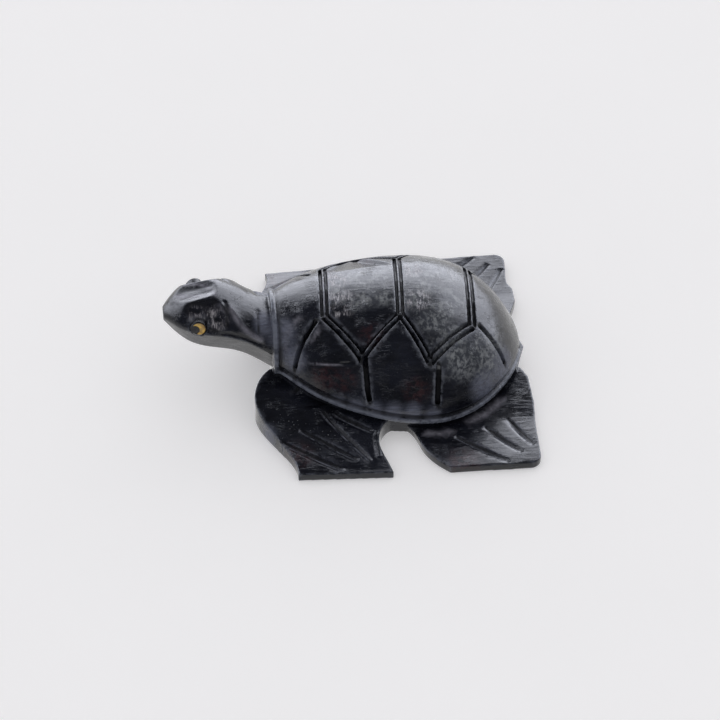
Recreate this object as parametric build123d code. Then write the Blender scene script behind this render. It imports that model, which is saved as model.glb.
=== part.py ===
"""Hand-carved stone sea turtle: one carved block, with an inlaid eye and pupil in each side of the head.

Millimetres. +X is towards the tail, -X towards the nose, +Z up. The flat underside lies on Z = 0, and the
origin is on it, midway along the length and on the centre plane.
"""
import os
from math import cos, radians, sin

from build123d import *

# Length of the figure, nose to tail
head_and_neck_length = 14.7
shell_length = 34.5
tail_reach = 0.8
overall_length = head_and_neck_length + shell_length + tail_reach

nose_x = -overall_length / 2
shell_front_x = nose_x + head_and_neck_length
shell_rear_x = shell_front_x + shell_length
tail_tip_x = shell_rear_x + tail_reach

# Shell
shell_half_width = 14.3
shell_crown_height = 15.7
rim_height_side = 2.6
rim_height_front = 6.5
rim_height_tail = 3.4
rim_lip_thickness = 0.6
rim_lip_overhang = 0.3
rim_lip_drop = 0.12
arch_lip_spread = 0.8
arch_lip_rise = 0.4
rim_undercut = 1.2
plinth_bite = 0.6

# Along the shell from the front: place, half width, crown height, and how far the rim has
# risen from its side height towards its height at the front and at the tail
shell_station_shares = (
    (0.00, 0.41, 0.890, 1.00, 0.00),
    (0.08, 0.58, 0.930, 0.90, 0.00),
    (0.18, 0.76, 0.965, 0.67, 0.00),
    (0.33, 0.91, 0.995, 0.38, 0.00),
    (0.50, 1.00, 1.000, 0.13, 0.00),
    (0.66, 0.98, 0.975, 0.00, 0.00),
    (0.79, 0.85, 0.880, 0.00, 0.15),
    (0.89, 0.64, 0.710, 0.00, 0.60),
    (0.96, 0.40, 0.490, 0.00, 0.95),
    (1.00, 0.15, 0.290, 0.00, 1.00),
)

# Head and neck
neck_half_width = 5.2
neck_half_height = 4.45
neck_root_axis_height = 8.8
head_axis_height = 12.9

# From the nose back into the shell: place, half width, half height, and the rise of the
# axis from its height at the neck root towards its height in the head
head_station_shares = (
    (0.00, 0.20, 0.20, 1.02),
    (0.07, 0.47, 0.43, 1.05),
    (0.17, 0.76, 0.72, 1.04),
    (0.39, 1.02, 1.00, 0.99),
    (0.71, 0.98, 1.00, 0.61),
    (1.00, 1.06, 1.08, -0.05),
    (1.08, 1.09, 1.09, -0.17),
)

# Round each cross-section of the head, in degrees from the level of its axis: the crease along the jaw
# above it, and the edge between the jaw's flat and the throat below it
jaw_angle = 4
throat_angle = 50

# Flippers
near_front_half_span = 21.4
near_hind_half_span = 21.9
far_front_half_span = 20.4
far_hind_half_span = 21.2
flipper_edge_thickness = 1.2
flipper_root_half_width = 4.0
front_flipper_root_height = 5.2
hind_flipper_root_height = 2.3
flipper_hollow = 0.5

# Places on the outline of a front flipper, in order round it: along from the front of the
# shell towards the tail as a share of the shell's length, and out as a share of the half span
front_shoulder_shares = ((0.10, 0.17), (-0.05, 0.24), (-0.085, 0.38), (-0.06, 0.56))
near_front_corner_share = (0.055, 1.00)
far_front_corner_share = (0.025, 1.00)
front_tip_share = (0.430, 1.035)
front_trailing_shares = ((0.405, 0.90), (0.390, 0.79), (0.400, 0.69), (0.455, 0.59))
# The same for a hind flipper
hind_leading_shares = ((0.49, 0.57), (0.535, 0.67), (0.560, 0.80), (0.600, 0.91))
hind_corner_share = (0.655, 1.00)
hind_heel_share = (1.018, 1.01)
hind_heel_radius = 1.6
near_hind_rear_shares = ((1.018, 0.70), (1.027, 0.47), (1.020, 0.26), (0.975, 0.12))
far_hind_rear_shares = (
    (1.006, 0.76), (1.008, 0.71), (1.026, 0.65), (1.026, 0.52), (0.991, 0.35), (0.960, 0.20),
)

# Tail
tail_half_width = 5.0
tail_length = 1.6
tail_height = 2.6
tail_undercut = 16

# The flat facet ground on each side of the shell, above a band that flares out to the rim
side_facet_yaw = 11
side_facet_pitch = 8
side_facet_lean = 19
side_facet_reach = 11.9
side_facet_foot_height = 6.8
side_facet_length = 24
side_facet_place = 13.8
flare_slope = 37

# Facets ground on the head
brow_scoop_radius = 6.0
brow_scoop_pitch = 14
brow_scoop_nose_height = 15.2
cheek_facet_slant = 46
cheek_facet_yaw = 5
cheek_facet_reach = 12.95
cheek_facet_length = 8.3

# Grooves round the scutes of the back: two strokes of a thin blade with a ridge left between them
groove_depth = 0.5
stroke_width = 0.44
ridge_width = 0.27
# Grooves down the sides of the shell and on the flippers: one stroke of a wider blade
side_stroke_width = 0.7
flipper_groove_depth = 0.4
flipper_stroke_width = 0.55
floor_step = 5.0

# Corners of the scutes of the back: along the shell, and out from the centre plane. The near side's
# and the far side's upper corners are joined over the crown, and the lower ones are the same on both.
near_upper_shares = ((0.207, 0.31), (0.505, 0.37), (0.788, 0.42))
far_upper_shares = ((0.225, 0.42), (0.527, 0.50), (0.810, 0.50))
lower_shares = ((0.340, 0.69), (0.605, 0.765))
side_groove_shares = (
    ((0.350, 0.70), (0.362, 0.90)),
    ((0.640, 0.79), (0.628, 0.955)),
    ((0.172, 0.33), (0.078, 0.55)),
    ((0.815, 0.385), (0.916, 0.50)),
)
# Ends of the grooves on the flippers, as shares of the shell's length and the half span
front_groove_shares = (
    ((0.000, 0.73), (0.238, 0.985)),
    ((0.080, 0.645), (0.300, 0.915)),
    ((0.177, 0.52), (0.350, 0.93)),
    ((0.220, 0.53), (0.370, 0.70)),
)
hind_groove_shares = (
    ((0.693, 0.725), (0.893, 0.985)),
    ((0.814, 0.66), (0.950, 0.905)),
    ((0.910, 0.595), (1.000, 0.850)),
)

# Eyes
eye_place = 4.5
eye_reach = 4.85
eye_height = 13.95
eye_yaw = 12
eye_pitch = 8
eye_inlay_radius = 1.1
eye_inlay_depth = 1.4
eye_inlay_bevel = 0.2
pupil_radius = 0.6
pupil_depth = 0.8
pupil_forward = 0.4
pupil_down = 0.1
glue_gap = 0.03

overrun = 2.0


def shell_stations():
    """Place, half width, rim height and crown height at each cross-section of the shell, front to rear."""
    for along, wide, tall, front_rise, tail_rise in shell_station_shares:
        place = shell_front_x + shell_length * along
        rim = rim_height_side + (rim_height_front - rim_height_side) * front_rise
        rim += (rim_height_tail - rim_height_side) * tail_rise
        yield place, shell_half_width * wide, rim, shell_crown_height * tall


def across_plane(place, height=0):
    """The upright plane across the figure at that place, centred at a height."""
    return Plane(origin=(place, 0, height), x_dir=(0, 1, 0), z_dir=(1, 0, 0))


def dome_face(place, half_width, rim, crown):
    """One upright cross-section of the shell, half an ellipse standing on the rim."""
    arch = EllipticalCenterArc((0, 0), half_width, crown - rim, arc_size=180)
    return across_plane(place, rim) * make_face([arch, Line(arch @ 1, arch @ 0)])


def shell_dome(skin=0):
    """The domed shell, or the same form with its skin taken off all over."""
    faces = []
    for place, half_width, rim, crown in shell_stations():
        faces.append(dome_face(place, half_width - skin, rim, crown - skin))
    return loft(faces)


def upright_slab(place, half_width, low, high):
    """A rectangle across the figure, for the plinth and the lip."""
    corners = ((-half_width, low), (half_width, low), (half_width, high), (-half_width, high))
    return make_face(Polyline(*[Vector(place, y, z) for y, z in corners], close=True))


def plinth():
    """The stone under the shell, set in from the rim all round."""
    faces = []
    for place, half_width, rim, crown in shell_stations():
        faces.append(upright_slab(place, half_width - rim_undercut, 0, rim + plinth_bite))
    return loft(faces)


def head_face(half_width, half_height):
    """One cross-section of the head: round above the jaw, with a flat below it on each side."""
    arch = EllipticalCenterArc((0, 0), half_width, half_height, jaw_angle, arc_size=180 - 2 * jaw_angle)
    out = half_width * cos(radians(throat_angle))
    down = half_height * sin(radians(throat_angle))
    flats = Polyline(arch @ 1, Vector(-out, -down), Vector(out, -down), arch @ 0)
    return make_face([arch, flats])


def neck_and_head():
    """The raised neck and head as one swelling form, before its facets are cut."""
    faces = []
    for along, wide, tall, rise in head_station_shares:
        place = nose_x + head_and_neck_length * along
        axis_height = neck_root_axis_height + (head_axis_height - neck_root_axis_height) * rise
        face = head_face(neck_half_width * wide, neck_half_height * tall)
        faces.append(across_plane(place, axis_height) * face)
    return loft(faces)


def on_plan(share, side, half_span):
    """A place on a flipper's outline, from its shares of the shell's length and the half span."""
    return Vector(shell_front_x + shell_length * share[0], side * half_span * share[1])


def flipper_top(root_height, side, half_span, drop=0):
    """The space under a flipper's top: steep at the root, then a flatter slope to the thin outer edge."""
    inner = Vector(side * flipper_root_half_width, root_height - drop)
    outer = Vector(side * half_span, flipper_edge_thickness - drop)
    middle = (inner + outer) / 2 - Vector(0, flipper_hollow)
    past = outer + Vector(side * overrun, 0)
    outline = Polyline(inner, middle, outer, past, Vector(past.X, 0), Vector(inner.X, 0), close=True)
    return extrude(across_plane(nose_x) * make_face(outline), overall_length + overrun)


def front_flipper(side, half_span, corner_share):
    """A front flipper: a swept-back blade with a rounded shoulder and a hollow trailing edge."""
    shoulder = [on_plan(share, side, half_span) for share in front_shoulder_shares]
    corner = on_plan(corner_share, side, half_span)
    tip = on_plan(front_tip_share, side, half_span)
    trailing = [on_plan(share, side, half_span) for share in front_trailing_shares]
    edges = [
        Spline(*shoulder, corner),
        Line(corner, tip),
        Spline(tip, *trailing),
        Line(trailing[-1], shoulder[0]),
    ]
    blade = extrude(make_face(edges), front_flipper_root_height + overrun)
    return blade & flipper_top(front_flipper_root_height, side, half_span)


def hind_flipper(side, half_span, rear_shares):
    """A hind flipper: a broad paddle with a rounded heel."""
    leading = [on_plan(share, side, half_span) for share in hind_leading_shares]
    corner = on_plan(hind_corner_share, side, half_span)
    heel = on_plan(hind_heel_share, side, half_span)
    rear = [on_plan(share, side, half_span) for share in rear_shares]
    outline = make_face([Spline(*leading, corner), Polyline(corner, heel, *rear, leading[0])])
    heel_corner = outline.vertices().sort_by_distance((heel.X, heel.Y, 0))[0]
    outline = fillet(heel_corner, hind_heel_radius)
    paddle = extrude(outline, hind_flipper_root_height + overrun)
    return paddle & flipper_top(hind_flipper_root_height, side, half_span)


def tail():
    """The short blunt tail under the rear of the shell, undercut towards its foot."""
    root_x = tail_tip_x - tail_length
    inner_x = root_x - tail_half_width
    rim = ((inner_x, -tail_half_width), (root_x, -tail_half_width), (tail_tip_x, 0))
    points = rim + tuple((x, -y) for x, y in reversed(rim[:-1]))
    top = Pos(0, 0, tail_height) * make_face(Polyline(*points, close=True))
    return extrude(top, tail_height, dir=(0, 0, -1), taper=tail_undercut)


def rim_lip():
    """The thin lip that runs round the rim, a little proud of the dome."""
    faces = []
    for place, half_width, rim, crown in shell_stations():
        low = rim - rim_lip_drop
        faces.append(upright_slab(place, half_width + rim_lip_overhang, low, low + rim_lip_thickness))
    return loft(faces)


def arch_lip():
    """The lip where it arches over the neck at the front of the shell."""
    place, half_width, rim, crown = next(shell_stations())
    arch = dome_face(place, half_width + arch_lip_spread, rim, crown + arch_lip_rise)
    return extrude(arch, rim_lip_thickness, dir=(1, 0, 0))


def side_facet(side, skin=0):
    """The stone ground away on one side of the shell, leaving a steep flat and a flared band.

    A skin is taken off both as well, for the floor of the grooves.
    """
    height = shell_crown_height - side_facet_foot_height
    foot = Vector(side_facet_reach - skin, side_facet_foot_height - skin)
    top = foot + Vector(-height * sin(radians(side_facet_lean)) / cos(radians(side_facet_lean)), height)
    far = side_facet_reach + rim_undercut + overrun
    drop = (far - side_facet_reach) * sin(radians(flare_slope)) / cos(radians(flare_slope))
    outline = Polyline(foot, Vector(far, foot.Y - drop), Vector(far, top.Y), top, close=True)
    yaw = radians(side_facet_yaw)
    pitch = radians(side_facet_pitch)
    outward = Vector(-sin(yaw), side * cos(yaw))
    along = Vector(cos(yaw) * cos(pitch), side * sin(yaw) * cos(pitch), -sin(pitch))
    middle = Vector(shell_front_x + side_facet_place, 0)
    ground = Plane(origin=middle, x_dir=outward, z_dir=along * side)
    return extrude(ground * make_face(outline), side_facet_length / 2, both=True)


def brow_scoop():
    """The hollow ground along the top of the head, from the nose to the crown."""
    pitch = radians(brow_scoop_pitch)
    along = Vector(cos(pitch), 0, sin(pitch))
    lift = Vector(-sin(pitch), 0, cos(pitch)) * brow_scoop_radius
    start = Vector(nose_x, 0, brow_scoop_nose_height) + lift
    return extrude(Plane(origin=start, z_dir=along) * Circle(brow_scoop_radius), head_and_neck_length)


def cheek_facet(side):
    """The flat ground on a cheek, from the nose back to a small step at the temple."""
    slant = radians(cheek_facet_slant)
    yaw = radians(cheek_facet_yaw)
    outward = Vector(-sin(yaw) * cos(slant), side * cos(yaw) * cos(slant), sin(slant))
    back = Vector(cos(yaw), side * sin(yaw), 0)
    start = Vector(nose_x, 0, 0) + outward * cheek_facet_reach
    flat = Plane(origin=start, x_dir=back, z_dir=outward)
    length = cheek_facet_length + overrun
    block = Box(length, head_and_neck_length, overrun, align=(Align.MIN, Align.CENTER, Align.MIN))
    return flat * Pos(-overrun, 0, 0) * block


def on_shell(share, side):
    """A place on the shell's plan, from its shares of the shell's length and half width."""
    return Vector(shell_front_x + shell_length * share[0], side * shell_half_width * share[1])


def floor_height(form, place):
    """How high a form stands over a place on the plan, or its lowest level beyond its edge."""
    upright = Axis((place.X, place.Y, 0), (0, 0, 1))
    lowest = form.bounding_box().min.Z
    return max((point.Z for point, normal in form.find_intersection_points(upright)), default=lowest)


def stroke(start, end, width, floor_form, offset=0):
    """One upright slab over a line on the plan, moved sideways by offset, down to the floor form."""
    run = (end - start).normalized()
    aside = Vector(run.Y, -run.X)
    start = start + aside * offset
    length = (end + aside * offset - start).length
    steps = max(1, round(length / floor_step))
    floor = []
    for step in range(steps + 1):
        reach = length * step / steps
        floor.append((reach, floor_height(floor_form, start + run * reach)))
    top = shell_crown_height + overrun
    outline = Polyline(*floor, (length, top), (0, top), close=True)
    upright = Plane(origin=start, x_dir=run, z_dir=aside)
    return extrude(upright * make_face(outline), width / 2, both=True)


def back_lines():
    """The two ends of every groove round the scutes of the back."""
    for near, far in zip(near_upper_shares, far_upper_shares):
        yield on_shell(near, -1), on_shell(far, 1)
    for side, upper_shares in ((-1, near_upper_shares), (1, far_upper_shares)):
        for front, lower, rear in zip(upper_shares[:-1], lower_shares, upper_shares[1:]):
            yield on_shell(front, side), on_shell(lower, side)
            yield on_shell(lower, side), on_shell(rear, side)


def scute_strokes():
    """The slabs that cut the grooves between the scutes of the shell."""
    floor_form = shell_dome(groove_depth) - side_facet(-1, groove_depth) - side_facet(1, groove_depth)
    offset = (stroke_width + ridge_width) / 2
    for start, end in back_lines():
        for aside in (-offset, offset):
            yield stroke(start, end, stroke_width, floor_form, aside)
    for side in (-1, 1):
        for start, end in side_groove_shares:
            yield stroke(on_shell(start, side), on_shell(end, side), side_stroke_width, floor_form)


def flipper_strokes(shares, root_height, side, half_span):
    """The slabs that cut one flipper's grooves."""
    floor_form = flipper_top(root_height, side, half_span, flipper_groove_depth)
    for start, end in shares:
        start_place = on_plan(start, side, half_span)
        yield stroke(start_place, on_plan(end, side, half_span), flipper_stroke_width, floor_form)


def eye_plane(side):
    """The plane across one eye's socket, at the face of the inlay, facing out."""
    yaw = radians(eye_yaw)
    pitch = radians(eye_pitch)
    outward = Vector(-sin(yaw) * cos(pitch), side * cos(yaw) * cos(pitch), sin(pitch))
    back = Vector(cos(yaw), side * sin(yaw), 0)
    return Plane(origin=(nose_x + eye_place, side * eye_reach, eye_height), x_dir=back, z_dir=outward)


def round_plug(radius, depth):
    """A round plug from its seat at -depth up to its face on the plane."""
    return Cylinder(radius, depth, align=(Align.CENTER, Align.CENTER, Align.MAX))


def drilled_hole(radius, depth):
    """The space of a flat-bottomed hole, from its floor at -depth out past its mouth."""
    hole = Cylinder(radius, depth + overrun, align=(Align.CENTER, Align.CENTER, Align.MIN))
    return Pos(0, 0, -depth) * hole


def pupil_spot(side):
    """Where the pupil sits on the eye's plane."""
    return Pos(-pupil_forward, pupil_down * side, 0)


def eye_inlay(side):
    """The yellow disc of one eye, with a bevelled face and the socket for its pupil."""
    plug = round_plug(eye_inlay_radius, eye_inlay_depth)
    plug = chamfer(plug.edges().sort_by(Axis.Z)[-1], eye_inlay_bevel)
    socket = drilled_hole(pupil_radius + glue_gap, pupil_depth)
    return eye_plane(side) * (plug - pupil_spot(side) * socket)


def eye_pupil(side):
    """The black pupil of one eye."""
    return eye_plane(side) * pupil_spot(side) * round_plug(pupil_radius, pupil_depth)


def eye_socket(side):
    """The round hole drilled in the head for one eye's inlay."""
    return eye_plane(side) * drilled_hole(eye_inlay_radius + glue_gap, eye_inlay_depth)


def carved_shell():
    """The shell with its side facets and the grooves between its scutes."""
    shell = shell_dome() - side_facet(-1) - side_facet(1)
    return shell - list(scute_strokes())


def carved_head():
    """The head and neck with the hollow brow, the cheek facets and the eye sockets."""
    head = neck_and_head() - brow_scoop()
    for side in (-1, 1):
        head = head - cheek_facet(side) - eye_socket(side)
    return head


def carved_front_flipper(side, half_span, corner_share):
    """The front flipper of one side, with its grooves."""
    strokes = flipper_strokes(front_groove_shares, front_flipper_root_height, side, half_span)
    return front_flipper(side, half_span, corner_share) - list(strokes)


def carved_hind_flipper(side, half_span, rear_shares):
    """The hind flipper of one side, with its grooves."""
    strokes = flipper_strokes(hind_groove_shares, hind_flipper_root_height, side, half_span)
    return hind_flipper(side, half_span, rear_shares) - list(strokes)


def carved_stone_body():
    """The whole turtle apart from its eyes, from one block of stone."""
    stone = carved_shell() + [plinth(), rim_lip(), arch_lip()] + [carved_head(), tail()]
    near_front = carved_front_flipper(-1, near_front_half_span, near_front_corner_share)
    far_front = carved_front_flipper(1, far_front_half_span, far_front_corner_share)
    near_hind = carved_hind_flipper(-1, near_hind_half_span, near_hind_rear_shares)
    far_hind = carved_hind_flipper(1, far_hind_half_span, far_hind_rear_shares)
    return stone + [near_front, near_hind] + [far_front, far_hind]


nodes = {"carved_stone_body": carved_stone_body()}
for name, side in (("left", -1), ("right", 1)):
    nodes[name + "_eye_inlay"] = eye_inlay(side)
    nodes[name + "_eye_pupil"] = eye_pupil(side)

os.makedirs("parts", exist_ok=True)
for name, shape in nodes.items():
    export_step(shape, "parts/" + name + ".step")
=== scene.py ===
"""Looks of the carved stone sea turtle: worn polished stone, inlaid eyes and the studio it stands in."""

import bmesh
import bpy
import numpy as np
from math import cos, radians, sin
from mathutils import Matrix, Vector


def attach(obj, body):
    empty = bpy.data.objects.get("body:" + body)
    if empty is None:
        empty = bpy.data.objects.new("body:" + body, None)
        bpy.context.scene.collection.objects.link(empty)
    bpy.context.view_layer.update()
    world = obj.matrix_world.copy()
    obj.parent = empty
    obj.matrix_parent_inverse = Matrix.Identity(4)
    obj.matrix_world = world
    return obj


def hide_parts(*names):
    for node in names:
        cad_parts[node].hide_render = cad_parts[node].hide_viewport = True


bl_info = {
    "name": "Carved Stone Turtle",
    "version": (1, 0, 0),
    "blender": (4, 5, 0),
    "location": "View3D > Sidebar > Turtle",
    "description": "Finishes the carved stone turtle, sets its eyes and lights the table it stands on",
    "category": "Object",
}

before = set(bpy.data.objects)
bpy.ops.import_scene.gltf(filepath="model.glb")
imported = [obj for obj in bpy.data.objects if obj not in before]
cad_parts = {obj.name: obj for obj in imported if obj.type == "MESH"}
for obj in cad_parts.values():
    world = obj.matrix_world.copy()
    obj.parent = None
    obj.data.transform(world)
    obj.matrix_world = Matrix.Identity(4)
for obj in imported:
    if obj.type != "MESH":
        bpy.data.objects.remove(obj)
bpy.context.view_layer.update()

mm = 0.001
body_name = "root"
stone_node = "carved_stone_body"
eye_sides = ("left", "right")

# Places on the plan in mm, as in the solids
shell_front = -10.3
shell_length = 34.5
shell_half_width = 14.3
near_front_half_span = 21.4
near_hind_half_span = 21.9
far_front_half_span = 20.4
far_hind_half_span = 21.2

# Corners of the scutes of the back: along the shell, and out from the centre plane as a share of the
# half width, then the ends of the grooves down the shell's sides and on the flippers
near_upper_shares = ((0.207, 0.31), (0.505, 0.37), (0.788, 0.42))
far_upper_shares = ((0.225, 0.42), (0.527, 0.50), (0.810, 0.50))
lower_shares = ((0.340, 0.69), (0.605, 0.765))
side_groove_shares = (
    ((0.350, 0.70), (0.362, 0.90)),
    ((0.640, 0.79), (0.628, 0.955)),
    ((0.172, 0.33), (0.078, 0.55)),
    ((0.815, 0.385), (0.916, 0.50)),
)
front_flipper_groove_shares = (
    ((0.000, 0.73), (0.238, 0.985)),
    ((0.080, 0.645), (0.300, 0.915)),
    ((0.177, 0.52), (0.350, 0.93)),
    ((0.220, 0.53), (0.370, 0.70)),
)
hind_flipper_groove_shares = (
    ((0.693, 0.725), (0.893, 0.985)),
    ((0.814, 0.66), (0.950, 0.905)),
    ((0.910, 0.595), (1.000, 0.850)),
)

# Each side: its direction across, its scutes' upper corners, and the half spans of its two flippers
sides = (
    (-1, near_upper_shares, near_front_half_span, near_hind_half_span),
    (1, far_upper_shares, far_front_half_span, far_hind_half_span),
)

# The rim of the shell: along it from the front, half width as a share, and height in mm
rim_stations = (
    (0.00, 0.41, 6.50), (0.08, 0.58, 6.11), (0.18, 0.76, 5.21), (0.33, 0.91, 4.08), (0.50, 1.00, 3.11),
    (0.66, 0.98, 2.60), (0.79, 0.85, 2.72), (0.89, 0.64, 3.08), (0.96, 0.40, 3.36), (1.00, 0.15, 3.40),
)
rim_path_steps = 8

# The rim's lip, the line cut above it, which painted shade darkens, and both where they arch over the neck,
# in mm
lip_overhang = 0.3
lip_middle = 0.18
lip_radius = 0.34
rim_cut_height = 0.80
rim_cut_inset = 0.10
rim_cut_depth = 0.30
rim_cut_half_width = 0.24
arch_lip_middle = -10.0
arch_lip_half_width = 0.34
arch_cut = -9.35

# Tops of the flippers: two flats, steep at the root and then a flatter slope to the edge
flipper_root_half_width = 4.0
flipper_edge_height = 1.2
flipper_hollow = 0.5
front_root_height = 5.2
hind_root_height = 2.3

# The cuts in the flippers, in mm: depth, width of the steep and the shallow wall, and between which heights
flipper_cut_depth = 0.42
flipper_cut_inner = 0.30
flipper_cut_outer = 0.80
lowest_top = 0.6
highest_cut = 3.2

# How far a flipper's cut still reaches past its ends, beside its stroke and above the top, in mm
cut_end_margin = 0.3
cut_side_margin = 0.12
cut_top_margin = 0.2

# Painted shade and painted highlight along a flipper's cut, in mm: half width, and how far out from its line
dark_cut_band = (0.15, -0.06)
lit_cut_band = (0.15, 0.34)

# From a groove's middle line to the middle of a stroke, and half the stroke's width
back_stroke = (0.355, 0.22)
side_stroke = (0.0, 0.35)
flipper_stroke = (0.0, 0.275)

# The side of a groove whose edge gets the stronger painted highlight: towards the nose, and away from the
# centre plane
lit_side = (-0.45, 0.89)

# Heights above the table that masks fade in over, in mm
off_table = (0.1, 0.9)
above_foot = (0.3, 0.8)
above_rim = (3.2, 3.8)
above_arch = (6.3, 7.0)

# Distances from a stroke's edge and from the rim that masks fade in over, in mm
clear_of_stroke = (0.2, 0.6)
waves_from_stroke = (0.0, 0.6)
clear_of_rim = (1.0, 1.6)
stroke_fade = (-0.08, 0.10)
lit_fade = (0.0, 0.2)

# Bands of the masks, in mm: half width, and where the middle is
rim_cut_band = (0.26, 0.0)
arch_cut_band = (0.22, arch_cut)
stroke_edge_band = (0.11, 0.13)

# How far the surface faces up, and how much it bulges, where masks fade in
facing_up = (0.0, 0.2)
worn_bulge = (0.25, 1.3)

# Rounds that smooth the bulge, and the shortest edge that it is measured over, in mm
bulge_rounds = 3
shortest_edge = 1e-6

# Shares: waves left beside a stroke, painted highlight left on an unlit edge, how strongly painted shade
# darkens cuts, and how far the lip's wear and painted highlight and the patches reach for each mm of their
# radius
sheltered_wave_share = 0.25
unlit_edge_share = 0.25
arch_cut_share = 0.8
flipper_cut_share = 0.85
lip_fade_share = 1.4
patch_core_share = 0.35
patch_edge_share = 1.15

# Grinding of the flats and the edge of the dark flat, in mm, and welding of the solid's mesh, in metres
flat_blend = 0.25
deepest_grind = 1.5
dark_flat_fade = (-0.15, 0.15)
weld_distance = 0.5e-6

# Marks left by the carver, in mm: depth (a ridge is negative), half width and the line it follows
carving_marks = (
    (0.12, 0.28, ((-4.3, -9.3, 10.1), (-0.6, -10.2, 10.7))),
    (0.25, 0.26, ((-19.2, -5.0, 13.7), (-16.2, -5.1, 12.9), (-14.0, -5.1, 11.8), (-11.9, -5.0, 10.5))),
    (0.16, 0.28, ((-12.1, -1.8, 14.0), (-12.3, -3.5, 13.0), (-12.4, -4.4, 12.1))),
    (0.22, 0.26, ((-16.7, -2.3, 16.3), (-16.7, -3.6, 15.3), (-16.6, -4.7, 14.2))),
    (0.24, 0.36, ((2.8, -14.9, 2.3), (2.9, -19.1, 1.7))),
    (0.10, 0.34, ((-22.3, -0.9, 16.0), (-20.2, -0.6, 16.4), (-18.4, -0.5, 16.9))),
    (-0.16, 0.50, ((-15.9, -2.9, 15.7), (-14.4, -4.5, 13.3), (-11.9, -4.8, 11.2))),
)

# Flats ground on both sides, in mm: three places on the flat, then the corners of its region on the plan
ground_flats = (
    (((-21.6, -2.2, 16.1), (-17.2, -2.5, 16.5), (-18.6, -5.0, 13.7)),
     ((-24.5, 0.0), (-16.6, 0.0), (-16.6, -6.0), (-24.5, -6.0))),
    (((-1.4, -4.7, 14.5), (6.4, -3.9, 15.2), (1.6, -9.4, 12.0)),
     ((-3.0, -4.0), (7.0, -5.0), (1.5, -10.0))),
)

# The front scute's dark lower flat on the plan, in mm, which the painted sheen of the clouds and scratches
# doesn't reach
dark_scute_flat = ((-2.2, -4.9), (1.5, -4.6), (6.8, -4.2), (5.2, -6.6), (1.6, -9.8))

# Lines of painted highlight and painted shade, in mm: half width, whether it is on both sides, and the line
# it follows
painted_highlight_lines = (
    (0.40, False, ((-23.0, 0.1, 15.8), (-21.3, -0.5, 16.2), (-19.3, -1.0, 16.8), (-18.0, -1.2, 17.0))),
    (0.20, False, ((-21.8, 1.8, 16.3), (-20.2, 1.5, 16.6), (-18.7, 0.5, 16.8), (-17.9, -1.2, 17.1))),
    (0.36, True, ((-15.9, -3.0, 15.6), (-15.3, -3.9, 14.6), (-14.5, -4.4, 13.4), (-13.2, -4.7, 12.1),
                  (-12.0, -4.8, 11.2))),
    (0.24, True, ((-17.4, -3.0, 16.3), (-16.9, -3.6, 15.7))),
    (0.20, True, ((-3.9, -5.7, 13.8), (-5.2, -7.0, 12.3))),
    (0.13, True, ((-6.9, -8.0, 9.5), (-4.3, -9.3, 10.1), (-1.4, -10.1, 10.4))),
    (0.30, True, ((-8.6, -5.9, 10.4), (-8.2, -4.8, 12.4), (-6.6, -3.9, 13.8))),
    (0.45, True, ((9.9, -15.0, 1.2), (11.6, -15.2, 1.1), (13.0, -15.0, 1.2))),
    (0.50, True, ((15.8, -13.2, 1.3), (18.0, -12.2, 1.3), (20.8, -9.6, 1.5))),
)
painted_shade_lines = (
    (0.42, False, ((-22.3, 1.0, 16.0), (-20.2, 0.5, 16.4), (-18.5, -0.1, 16.9))),
    (0.34, False, ((-23.8, -0.5, 15.1), (-21.4, -2.0, 16.4), (-19.4, -2.4, 16.7), (-17.9, -2.4, 16.6))),
    (0.24, True, ((-16.5, -2.4, 16.2), (-16.5, -3.8, 15.4), (-16.5, -4.8, 14.1))),
    (0.20, True, ((-19.9, -3.6, 13.7), (-18.3, -5.1, 13.7), (-16.5, -5.1, 13.2), (-14.9, -5.0, 12.5),
                  (-13.1, -4.9, 11.4))),
    (0.20, True, ((-12.0, -1.4, 14.0), (-12.2, -3.1, 13.3), (-12.2, -4.3, 12.1))),
)

# Patches on the stone, some of them with painted sheen, in mm: the place of each and its radius
stone_patches = {
    "rust_patch": (
        (8.6, -12.6, 7.2, 2.2), (-3.8, -10.4, 8.5, 2.2), (-1.1, -10.9, 8.3, 2.0), (14.2, -21.0, 1.2, 3.0),
        (-8.2, -18.1, 1.6, 2.6), (3.0, -7.5, 13.2, 2.0),
    ),
    "speckled_patch": ((-9.5, -12.0, 2.8, 4.0), (-6.5, -16.0, 2.0, 4.0), (-2.0, -15.0, 2.2, 3.5)),
    "scratch_and_sheen_patch": (
        (-1.2, -2.0, 15.3, 2.4), (-0.9, -5.0, 14.4, 1.6), (9.6, -3.0, 15.3, 2.2), (-18.0, -4.2, 15.0, 2.0),
        (-20.6, -3.4, 15.3, 1.3),
    ),
    "cloud_and_sheen_patch": (
        (2.2, 1.2, 15.6, 4.0), (-0.5, -0.5, 15.5, 3.0), (4.5, -2.0, 15.5, 2.4), (8.6, -3.4, 15.2, 2.6),
        (12.0, -5.8, 13.9, 3.4), (10.4, 0.5, 15.4, 3.4), (14.2, -2.9, 14.5, 2.8), (14.6, -9.0, 10.6, 4.6),
        (18.2, -7.5, 9.0, 4.4),
    ),
    "filed_and_sheen_patch": (
        (-2.4, -12.6, 5.4, 1.6), (0.2, -13.0, 4.9, 1.6), (2.8, -13.2, 4.5, 1.6), (5.4, -13.6, 4.4, 1.7),
        (8.0, -13.8, 4.4, 1.6), (10.6, -14.0, 3.9, 1.4), (-9.0, -4.5, 11.8, 2.6), (-7.5, -7.0, 9.5, 2.4),
        (20.6, -7.5, 6.0, 3.2), (18.0, -10.5, 5.5, 3.0), (-11.3, -3.0, 12.4, 2.2), (-12.2, -13.5, 1.0, 2.2),
    ),
}

# The patches of painted sheen that stay off the front scute's dark flat
clouded_patches = ("cloud_and_sheen_patch", "scratch_and_sheen_patch")

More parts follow.
